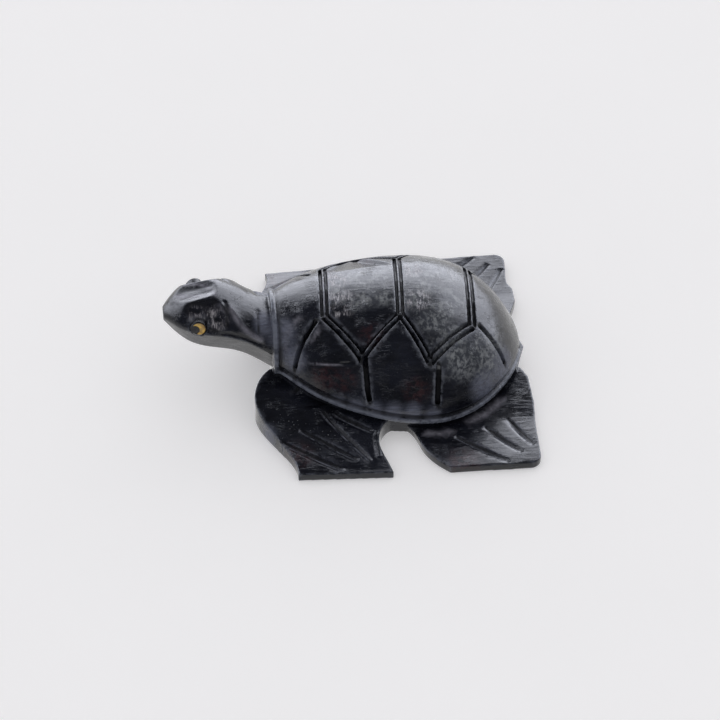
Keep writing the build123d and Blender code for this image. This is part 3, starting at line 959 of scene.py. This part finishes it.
def groove_distance(points, flippers=True):
    """How far each point is on the plan from the nearest stroke's edge, and towards its lit side."""
    nearest = np.full(len(points), np.inf)
    lit = np.zeros(len(points))
    outward = np.where(points[:, 1] > 0, 1.0, -1.0)
    for start, end, strokes in groove_lines():
        if strokes == flipper_stroke and not flippers:
            continue
        offset, half_width = strokes
        aside = away_from_line(points[:, :2], start, end)
        away = np.abs(np.linalg.norm(aside, axis=1) - offset) - half_width
        closer = away < nearest
        nearest = np.where(closer, away, nearest)
        lit = np.where(closer, lit_side[0] * aside[:, 0] + lit_side[1] * outward * aside[:, 1], lit)
    return nearest, lit


def carve_marks(points, normals):
    """Cuts the carver's marks into the points, along their normals, the same on both sides."""
    depth = np.zeros(len(points))
    for cut, half_width, line in carving_marks:
        for side in (1, -1):
            depth += cut * band(path_distance(points, np.array(line) * (1, side, 1)), half_width)
    return points - normals * depth[:, None]


def inside_outline(points, corners):
    """How far each point is on the plan inside a convex outline; outside it is negative."""
    corners = np.array(corners)
    middle = corners.mean(axis=0)
    least = np.full(len(points), np.inf)
    for start, end in zip(corners, np.roll(corners, -1, axis=0)):
        inward = np.array((start[1] - end[1], end[0] - start[0]))
        inward = inward / np.linalg.norm(inward)
        if (middle - start) @ inward < 0:
            inward = -inward
        least = np.minimum(least, (points[:, :2] - start) @ inward)
    return least


def grind_flats(points):
    """Grinds the flats into the points, the same on both sides."""
    points = points.copy()
    for places, corners in ground_flats:
        for side in (1, -1):
            first, second, third = np.array(places) * (1, side, 1)
            out = np.cross(second - first, third - first)
            out = out / np.linalg.norm(out) * np.sign(out[2])
            region = smooth_step(inside_outline(points, np.array(corners) * (1, side)), 0.0, flat_blend)
            proud = np.maximum((points - first) @ out, 0)
            points -= out * (proud * region * (proud < deepest_grind))[:, None]
    return points


def smooth_path(places, pieces):
    """A path through the places without corners, with each stretch in that many pieces."""
    places = np.array(places)
    padded = np.vstack((2 * places[0] - places[1], places, 2 * places[-1] - places[-2]))
    path = []
    for before, start, end, after in zip(padded, padded[1:], padded[2:], padded[3:]):
        for piece in range(pieces):
            share = piece / pieces
            path.append(0.5 * (
                2 * start + (end - before) * share
                + (2 * before - 5 * start + 4 * end - after) * share ** 2
                + (3 * start - before - 3 * end + after) * share ** 3
            ))
    return np.array(path + [places[-1]])


def rim_distance(points, out, up):
    """How far each point is from a line that runs round the rim, moved out and up from the rim's edge."""
    places = [(shell_front + shell_length * along, -(shell_half_width * wide + out), height + up)
              for along, wide, height in rim_stations]
    return path_distance(on_left(points), smooth_path(places, rim_path_steps))


def cut_rim(points, normals):
    """Cuts the line above the rim's lip into the points, along their normals."""
    away = rim_distance(points, -rim_cut_inset, rim_cut_height)
    depth = rim_cut_depth * band(away, rim_cut_half_width)
    return points - normals * depth[:, None]


def flipper_top(points, half_span, root_height):
    """The height of a flipper's top at each point."""
    middle = (flipper_root_half_width + half_span) / 2
    middle_height = (root_height + flipper_edge_height) / 2 - flipper_hollow
    places = (flipper_root_half_width, middle, half_span)
    return np.interp(np.abs(points[:, 1]), places, (root_height, middle_height, flipper_edge_height))


def flipper_grooves():
    """Each flipper: its side, half span, height at its root, and the ends of its grooves."""
    for side, _, front_half_span, hind_half_span in sides:
        yield side, front_half_span, front_root_height, front_flipper_groove_shares
        yield side, hind_half_span, hind_root_height, hind_flipper_groove_shares


def flipper_cuts(points):
    """For each cut on the flippers: places across it, its taper, which points are by it, and the top."""
    for side, half_span, root_height, shares in flipper_grooves():
        top = flipper_top(points, half_span, root_height)
        for share_start, share_end in shares:
            start = on_plan(share_start, side, half_span)
            run = on_plan(share_end, side, half_span) - start
            length = np.linalg.norm(run)
            run = run / length
            outward = np.array((-run[1], run[0]))
            outward = outward * side * np.sign(outward[1])
            along = (points[:, :2] - start) @ run
            across = (points[:, :2] - start) @ outward
            taper = np.sqrt(np.clip(1 - (2 * along / length - 1) ** 2, 0, 1))
            beside = (along > -cut_end_margin) & (along < length + cut_end_margin) & (points[:, 1] * side > 0)
            yield across, taper, beside, top


def cut_flippers(points):
    """Turns the flippers' grooves into tapered cuts with a steep inner and a shallow outer wall."""
    points = points.copy()
    for across, taper, beside, top in flipper_cuts(points):
        inner = np.clip(1 + across / flipper_cut_inner, 0, 1)
        outer = np.clip(1 - across / flipper_cut_outer, 0, 1)
        cut = top - flipper_cut_depth * taper * np.minimum(inner, outer)
        upper = beside & (points[:, 2] > lowest_top) & (points[:, 2] < top + cut_top_margin)
        in_stroke = upper & (np.abs(across) < flipper_stroke[1] + cut_side_margin)
        lowered = upper & (np.abs(across) < flipper_cut_outer) & (points[:, 2] > cut)
        points[in_stroke, 2] = np.maximum(points[in_stroke, 2], cut[in_stroke])
        points[lowered, 2] = cut[lowered]
    return points


def flipper_cut_masks(points):
    """Where the flippers' cuts get painted shade, and where their outer walls get a painted highlight."""
    dark = np.zeros(len(points))
    lit = np.zeros(len(points))
    for across, taper, beside, _ in flipper_cuts(points):
        here = taper * beside * (points[:, 2] > lowest_top) * (points[:, 2] < highest_cut)
        dark = np.maximum(dark, here * band(across, *dark_cut_band))
        lit = np.maximum(lit, here * band(across, *lit_cut_band))
    return dark, lit


def patch_strength(points, patches):
    """1 at the middle of each patch, fading to 0 past its radius; the same on both sides of the turtle."""
    strength = np.zeros(len(points))
    for x, y, z, radius in patches:
        away = np.linalg.norm(on_left(points) - np.array((x, -abs(y), z)), axis=1)
        outside = smooth_step(away, patch_core_share * radius, patch_edge_share * radius)
        strength = np.maximum(strength, 1 - outside)
    return strength


def line_strength(points, lines):
    """1 on each line, fading to 0 past its half width."""
    strength = np.zeros(len(points))
    for half_width, both_sides, line in lines:
        placed = on_left(points) if both_sides else points
        strength = np.maximum(strength, band(path_distance(placed, np.array(line)), half_width))
    return strength


def bulge(mesh, points, normals):
    """How strongly the surface curves outwards at each point, smoothed over its neighbours."""
    flat = np.empty(len(mesh.edges) * 2, np.int32)
    mesh.edges.foreach_get("vertices", flat)
    first, second = flat.reshape(-1, 2).T
    run = points[second] - points[first]
    length = np.maximum(np.linalg.norm(run, axis=1), shortest_edge)
    turn = np.einsum("ij,ij->i", normals[second] - normals[first], run) / length ** 2
    count = len(points)
    share = np.bincount(first, minlength=count) + np.bincount(second, minlength=count)
    value = np.bincount(first, turn, count) + np.bincount(second, turn, count)
    value = value / np.maximum(share, 1)
    for _ in range(bulge_rounds):
        drawn = np.bincount(first, value[second], count) + np.bincount(second, value[first], count)
        value = (value + drawn / np.maximum(share, 1)) / 2
    return value


def fine_stone_mesh(settings):
    """The solid's mesh in mm, remade as a fine even mesh."""
    copy = new_object("stone_draft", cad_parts[stone_node].data.copy())
    form = bmesh.new()
    form.from_mesh(copy.data)
    bmesh.ops.remove_doubles(form, verts=form.verts, dist=weld_distance)
    form.to_mesh(copy.data)
    form.free()
    copy.data.transform(Matrix.Scale(1 / mm, 4))
    remesh = copy.modifiers.new("Even mesh", "REMESH")
    remesh.mode = "VOXEL"
    remesh.voxel_size = settings.cell_size * 1
    mesh = evaluated_mesh(copy)
    bpy.data.objects.remove(copy)
    return mesh


def carve_stone(mesh):
    """Cuts the flats, the carver's marks, the rim's line and the flippers' cuts into the fine mesh."""
    normals = vectors_of(mesh.vertex_normals, "vector")
    points = carve_marks(grind_flats(vectors_of(mesh.vertices, "co")), normals)
    points = cut_flippers(cut_rim(points, normals))
    points[:, 2] = np.maximum(points[:, 2], 0)
    mesh.vertices.foreach_set("co", points.ravel().astype(np.float32))
    away = groove_distance(points)[0]
    by_rim = rim_distance(points, 0, lip_middle)
    keep_value(mesh, "open_face", smooth_step(away, *clear_of_stroke) * smooth_step(by_rim, *clear_of_rim))
    waves = sheltered_wave_share + (1 - sheltered_wave_share) * smooth_step(away, *waves_from_stroke)
    keep_value(mesh, "lift", smooth_step(points[:, 2], *off_table) * waves)


def grind_stone(mesh, settings, material):
    """The stone body as an object at the origin: softened, hand-ground and thinned."""
    piece = new_object("turtle_stone", mesh)
    grind = piece.modifiers.new("Hand-ground stone", "NODES")
    grind.node_group = hand_ground_tree()
    set_inputs(grind, {
        "Edge rounding": settings.edge_rounding, "Groove softening": settings.groove_softening,
        "Undulation height": settings.undulation_height, "Undulation size": settings.undulation_size,
        "Facet height": settings.facet_height, "Facet size": settings.facet_size, "Material": material,
    })
    thin = piece.modifiers.new("Fewer triangles", "DECIMATE")
    triangles = sum(len(face.vertices) - 2 for face in mesh.polygons)
    thin.ratio = min(1.0, settings.most_triangles / triangles)
    thin.use_collapse_triangulate = True
    finished = evaluated_mesh(piece)
    piece.modifiers.clear()
    piece.data = finished
    for name in ("open_face", "lift"):
        finished.attributes.remove(finished.attributes[name])
    return piece


def groove_masks(points, normals, on_shell):
    """Where the grooves get painted shade, their edges dust and a painted highlight, and the rim's lip wear
    and a painted highlight.
    """
    away, lit = groove_distance(points, flippers=False)
    upward = smooth_step(points[:, 2], *above_foot) * smooth_step(normals[:, 2], *facing_up)
    on_arch = smooth_step(points[:, 2], *above_arch)
    dark_cut, lit_cut = flipper_cut_masks(points)
    in_stroke = smooth_step(-away, *stroke_fade) * upward * on_shell
    in_rim_cut = band(rim_distance(points, -rim_cut_inset, rim_cut_height), *rim_cut_band)
    in_arch_cut = arch_cut_share * (band(points[:, 0], *arch_cut_band) * on_arch)
    dark = np.maximum.reduce((in_stroke, in_rim_cut, in_arch_cut, flipper_cut_share * dark_cut))
    lit_share = unlit_edge_share + (1 - unlit_edge_share) * smooth_step(lit, *lit_fade)
    by_lip = rim_distance(points, lip_overhang, lip_middle)
    on_rim_lip = 1 - smooth_step(by_lip, lip_radius, lip_fade_share * lip_radius)
    on_arch_lip = (np.abs(points[:, 0] - arch_lip_middle) < arch_lip_half_width) * on_arch
    return {
        "painted_groove_shade": dark,
        "groove_edge": band(away, *stroke_edge_band) * upward * on_shell * lit_share,
        "painted_cut_highlight": lit_cut,
        "rim_lip": np.maximum(on_rim_lip, on_arch_lip),
    }


def keep_masks(mesh):
    """Stores on the finished mesh, for its material, where the stone is grooved, patched, lined and worn, and
    where shade and highlights are painted.
    """
    points = vectors_of(mesh.vertices, "co")
    normals = vectors_of(mesh.vertex_normals, "vector")
    on_shell = smooth_step(points[:, 2], *above_rim)
    masks = groove_masks(points, normals, on_shell)
    # The painted sheen of the cloud and scratch patches stops at the front scute's dark flat
    ground = smooth_step(inside_outline(on_left(points), dark_scute_flat), *dark_flat_fade) * on_shell
    for name, patches in stone_patches.items():
        clear = 1 - ground if name in clouded_patches else 1
        masks[name] = patch_strength(points, patches) * clear
    masks["painted_highlight_line"] = line_strength(points, painted_highlight_lines)
    masks["painted_shade_line"] = line_strength(points, painted_shade_lines)
    masks["worn_edge"] = smooth_step(bulge(mesh, points, normals), *worn_bulge)
    for name, values in masks.items():
        keep_value(mesh, name, values)


def finish_stone(settings, material):
    """The finished stone body as an object at the origin."""
    mesh = fine_stone_mesh(settings)
    carve_stone(mesh)
    piece = grind_stone(mesh, settings, material)
    keep_masks(piece.data)
    piece.data.transform(Matrix.Scale(mm, 4))
    piece.data.polygons.foreach_set("use_smooth", np.ones(len(piece.data.polygons), bool))
    piece.data.update()
    return piece


class TURTLE_OT_carve_stone(bpy.types.Operator):
    """Finishes the carved stone body"""

    bl_idname = "turtle.carve_stone"
    bl_label = "Carve the stone"

    def execute(self, context):
        settings = context.scene.turtle_stone
        piece = finish_stone(settings, stone_material(settings))
        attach(piece, body_name)
        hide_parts(stone_node)
        return {"FINISHED"}


class TURTLE_OT_set_eyes(bpy.types.Operator):
    """Gives the eye discs and pupils their finish"""

    bl_idname = "turtle.set_eyes"
    bl_label = "Set the eyes"

    def execute(self, context):
        settings = context.scene.turtle_eyes
        finishes = {"inlay": amber_material(settings), "pupil": pupil_material(settings)}
        for side in eye_sides:
            for part, material in finishes.items():
                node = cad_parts[side + "_eye_" + part]
                node.data.materials.clear()
                node.data.materials.append(material)
        return {"FINISHED"}


def direction(turn, height):
    """A unit vector towards a viewer at that turn and height, in degrees."""
    turn, height = radians(turn), radians(height)
    return Vector((sin(turn) * cos(height), -cos(turn) * cos(height), sin(height)))


def add_camera(settings):
    """The camera at the photograph's angle."""
    towards = direction(settings.camera_turn, settings.camera_height)
    turn = radians(settings.camera_turn)
    right = Vector((cos(turn), sin(turn), 0))
    up = towards.cross(right)
    data = bpy.data.cameras.new("Camera")
    data.lens = settings.camera_lens
    data.sensor_width = 36.0
    camera = new_object("Camera", data)
    place = right * settings.look_right + up * settings.look_up + towards * settings.camera_distance
    turned = Matrix((right, up, towards)).transposed().to_4x4()
    camera.matrix_world = Matrix.Translation(place) @ turned
    bpy.context.scene.camera = camera


def add_lamp(settings):
    """The large soft lamp behind, which faces the origin."""
    data = bpy.data.lights.new("Window behind", "AREA")
    data.shape = "RECTANGLE"
    data.size = lamp_width
    data.size_y = lamp_tall
    data.energy = settings.lamp_power
    data.color = lamp_colour
    lamp = new_object("Window behind", data)
    towards = direction(lamp_turn, lamp_height)
    turned = towards.to_track_quat("Z", "Y").to_matrix().to_4x4()
    lamp.matrix_world = Matrix.Translation(towards * lamp_distance) @ turned


def add_floor(settings):
    """The round pale table top."""
    form = bmesh.new()
    bmesh.ops.create_circle(form, cap_ends=True, segments=table_sides, radius=settings.floor_radius)
    mesh = bpy.data.meshes.new("table_top")
    form.to_mesh(mesh)
    form.free()
    mesh.transform(Matrix.Translation((0, 0, -table_drop * mm)))
    mesh.materials.append(floor_material(settings))
    floor = new_object("table_top", mesh)
    floor.visible_glossy = False


def window_wall(tree, settings):
    """The room that the polish mirrors: dim, with a bright wall low down behind and a pale table below."""
    place = add_node(tree, "ShaderNodeTexCoord")
    parts = add_node(tree, "ShaderNodeSeparateXYZ")
    tree.links.new(place.outputs["Generated"], parts.inputs[0])
    east, north, height = parts.outputs
    aside = math_node(tree, "MULTIPLY", math_node(tree, "ABSOLUTE", east), settings.window_side_rise)
    level = math_node(tree, "SUBTRACT", height, aside)
    low = ramp(tree, level, settings.window_top + settings.window_fade, settings.window_top)
    behind = ramp(tree, north, *behind_fade)
    above = ramp(tree, height, -horizon_fade, horizon_fade)
    window = math_node(tree, "MULTIPLY", math_node(tree, "MULTIPLY", low, behind), above)
    steep = ramp(tree, height, *table_fade)
    below = math_node(tree, "SUBTRACT", 1.0, above)
    table = math_node(tree, "MULTIPLY", math_node(tree, "MAXIMUM", behind, steep), below)
    bright = tuple(channel * settings.window_strength for channel in settings.window_colour)
    colour = blend_colours(tree, window, settings.room_colour, bright)
    return blend_colours(tree, table, colour, settings.floor_colour)


def light_world(settings):
    """Even light from all round, pale where it is seen, and a room with a bright wall in the polish."""
    world = bpy.data.worlds.new("Studio")
    world.use_nodes = True
    tree = world.node_tree
    rays = add_node(tree, "ShaderNodeLightPath")
    mixed = tree.nodes["Background"]
    mixed.inputs["Color"].default_value = (*fill_colour, 1)
    mixed.inputs["Strength"].default_value = settings.fill_strength
    shader = mixed.outputs[0]
    room = add_node(tree, "ShaderNodeBackground")
    tree.links.new(window_wall(tree, settings), room.inputs["Color"])
    backdrop = add_node(tree, "ShaderNodeBackground")
    backdrop.inputs["Color"].default_value = (*settings.backdrop_colour, 1)
    for ray, seen in (
        ("Is Glossy Ray", room), ("Is Camera Ray", backdrop), ("Is Transmission Ray", backdrop),
    ):
        mix = add_node(tree, "ShaderNodeMixShader")
        tree.links.new(rays.outputs[ray], mix.inputs["Fac"])
        tree.links.new(shader, mix.inputs[1])
        tree.links.new(seen.outputs[0], mix.inputs[2])
        shader = mix.outputs[0]
    tree.links.new(shader, tree.nodes["World Output"].inputs["Surface"])
    bpy.context.scene.world = world


class TURTLE_OT_set_stage(bpy.types.Operator):
    """Sets up the table, the lamps, the background and the camera"""

    bl_idname = "turtle.set_stage"
    bl_label = "Set the stage"

    def execute(self, context):
        settings = context.scene.turtle_stage
        add_camera(settings)
        add_floor(settings)
        light_world(settings)
        add_lamp(settings)
        context.scene.view_settings.view_transform = "Standard"
        return {"FINISHED"}


class TURTLE_PT_panel(bpy.types.Panel):
    """Lists the steps that finish the turtle."""

    bl_label = "Carved Stone Turtle"
    bl_idname = "TURTLE_PT_panel"
    bl_space_type = "VIEW_3D"
    bl_region_type = "UI"
    bl_category = "Turtle"

    def draw(self, context):
        for step in steps:
            self.layout.operator(step.bl_idname)


steps = (TURTLE_OT_carve_stone, TURTLE_OT_set_eyes, TURTLE_OT_set_stage)
settings_groups = {
    "turtle_stone": TurtleStoneSettings,
    "turtle_eyes": TurtleEyeSettings,
    "turtle_stage": TurtleStageSettings,
}


def register():
    for group in (*settings_groups.values(), *steps, TURTLE_PT_panel):
        bpy.utils.register_class(group)
    for name, group in settings_groups.items():
        setattr(bpy.types.Scene, name, bpy.props.PointerProperty(type=group))


def unregister():
    for name in settings_groups:
        delattr(bpy.types.Scene, name)
    for group in reversed((*settings_groups.values(), *steps, TURTLE_PT_panel)):
        bpy.utils.unregister_class(group)


def main():
    """Registers the add-on and runs its steps in order."""
    register()
    bpy.ops.turtle.carve_stone()
    bpy.ops.turtle.set_eyes()
    bpy.ops.turtle.set_stage()


if __name__ == "__main__":
    main()
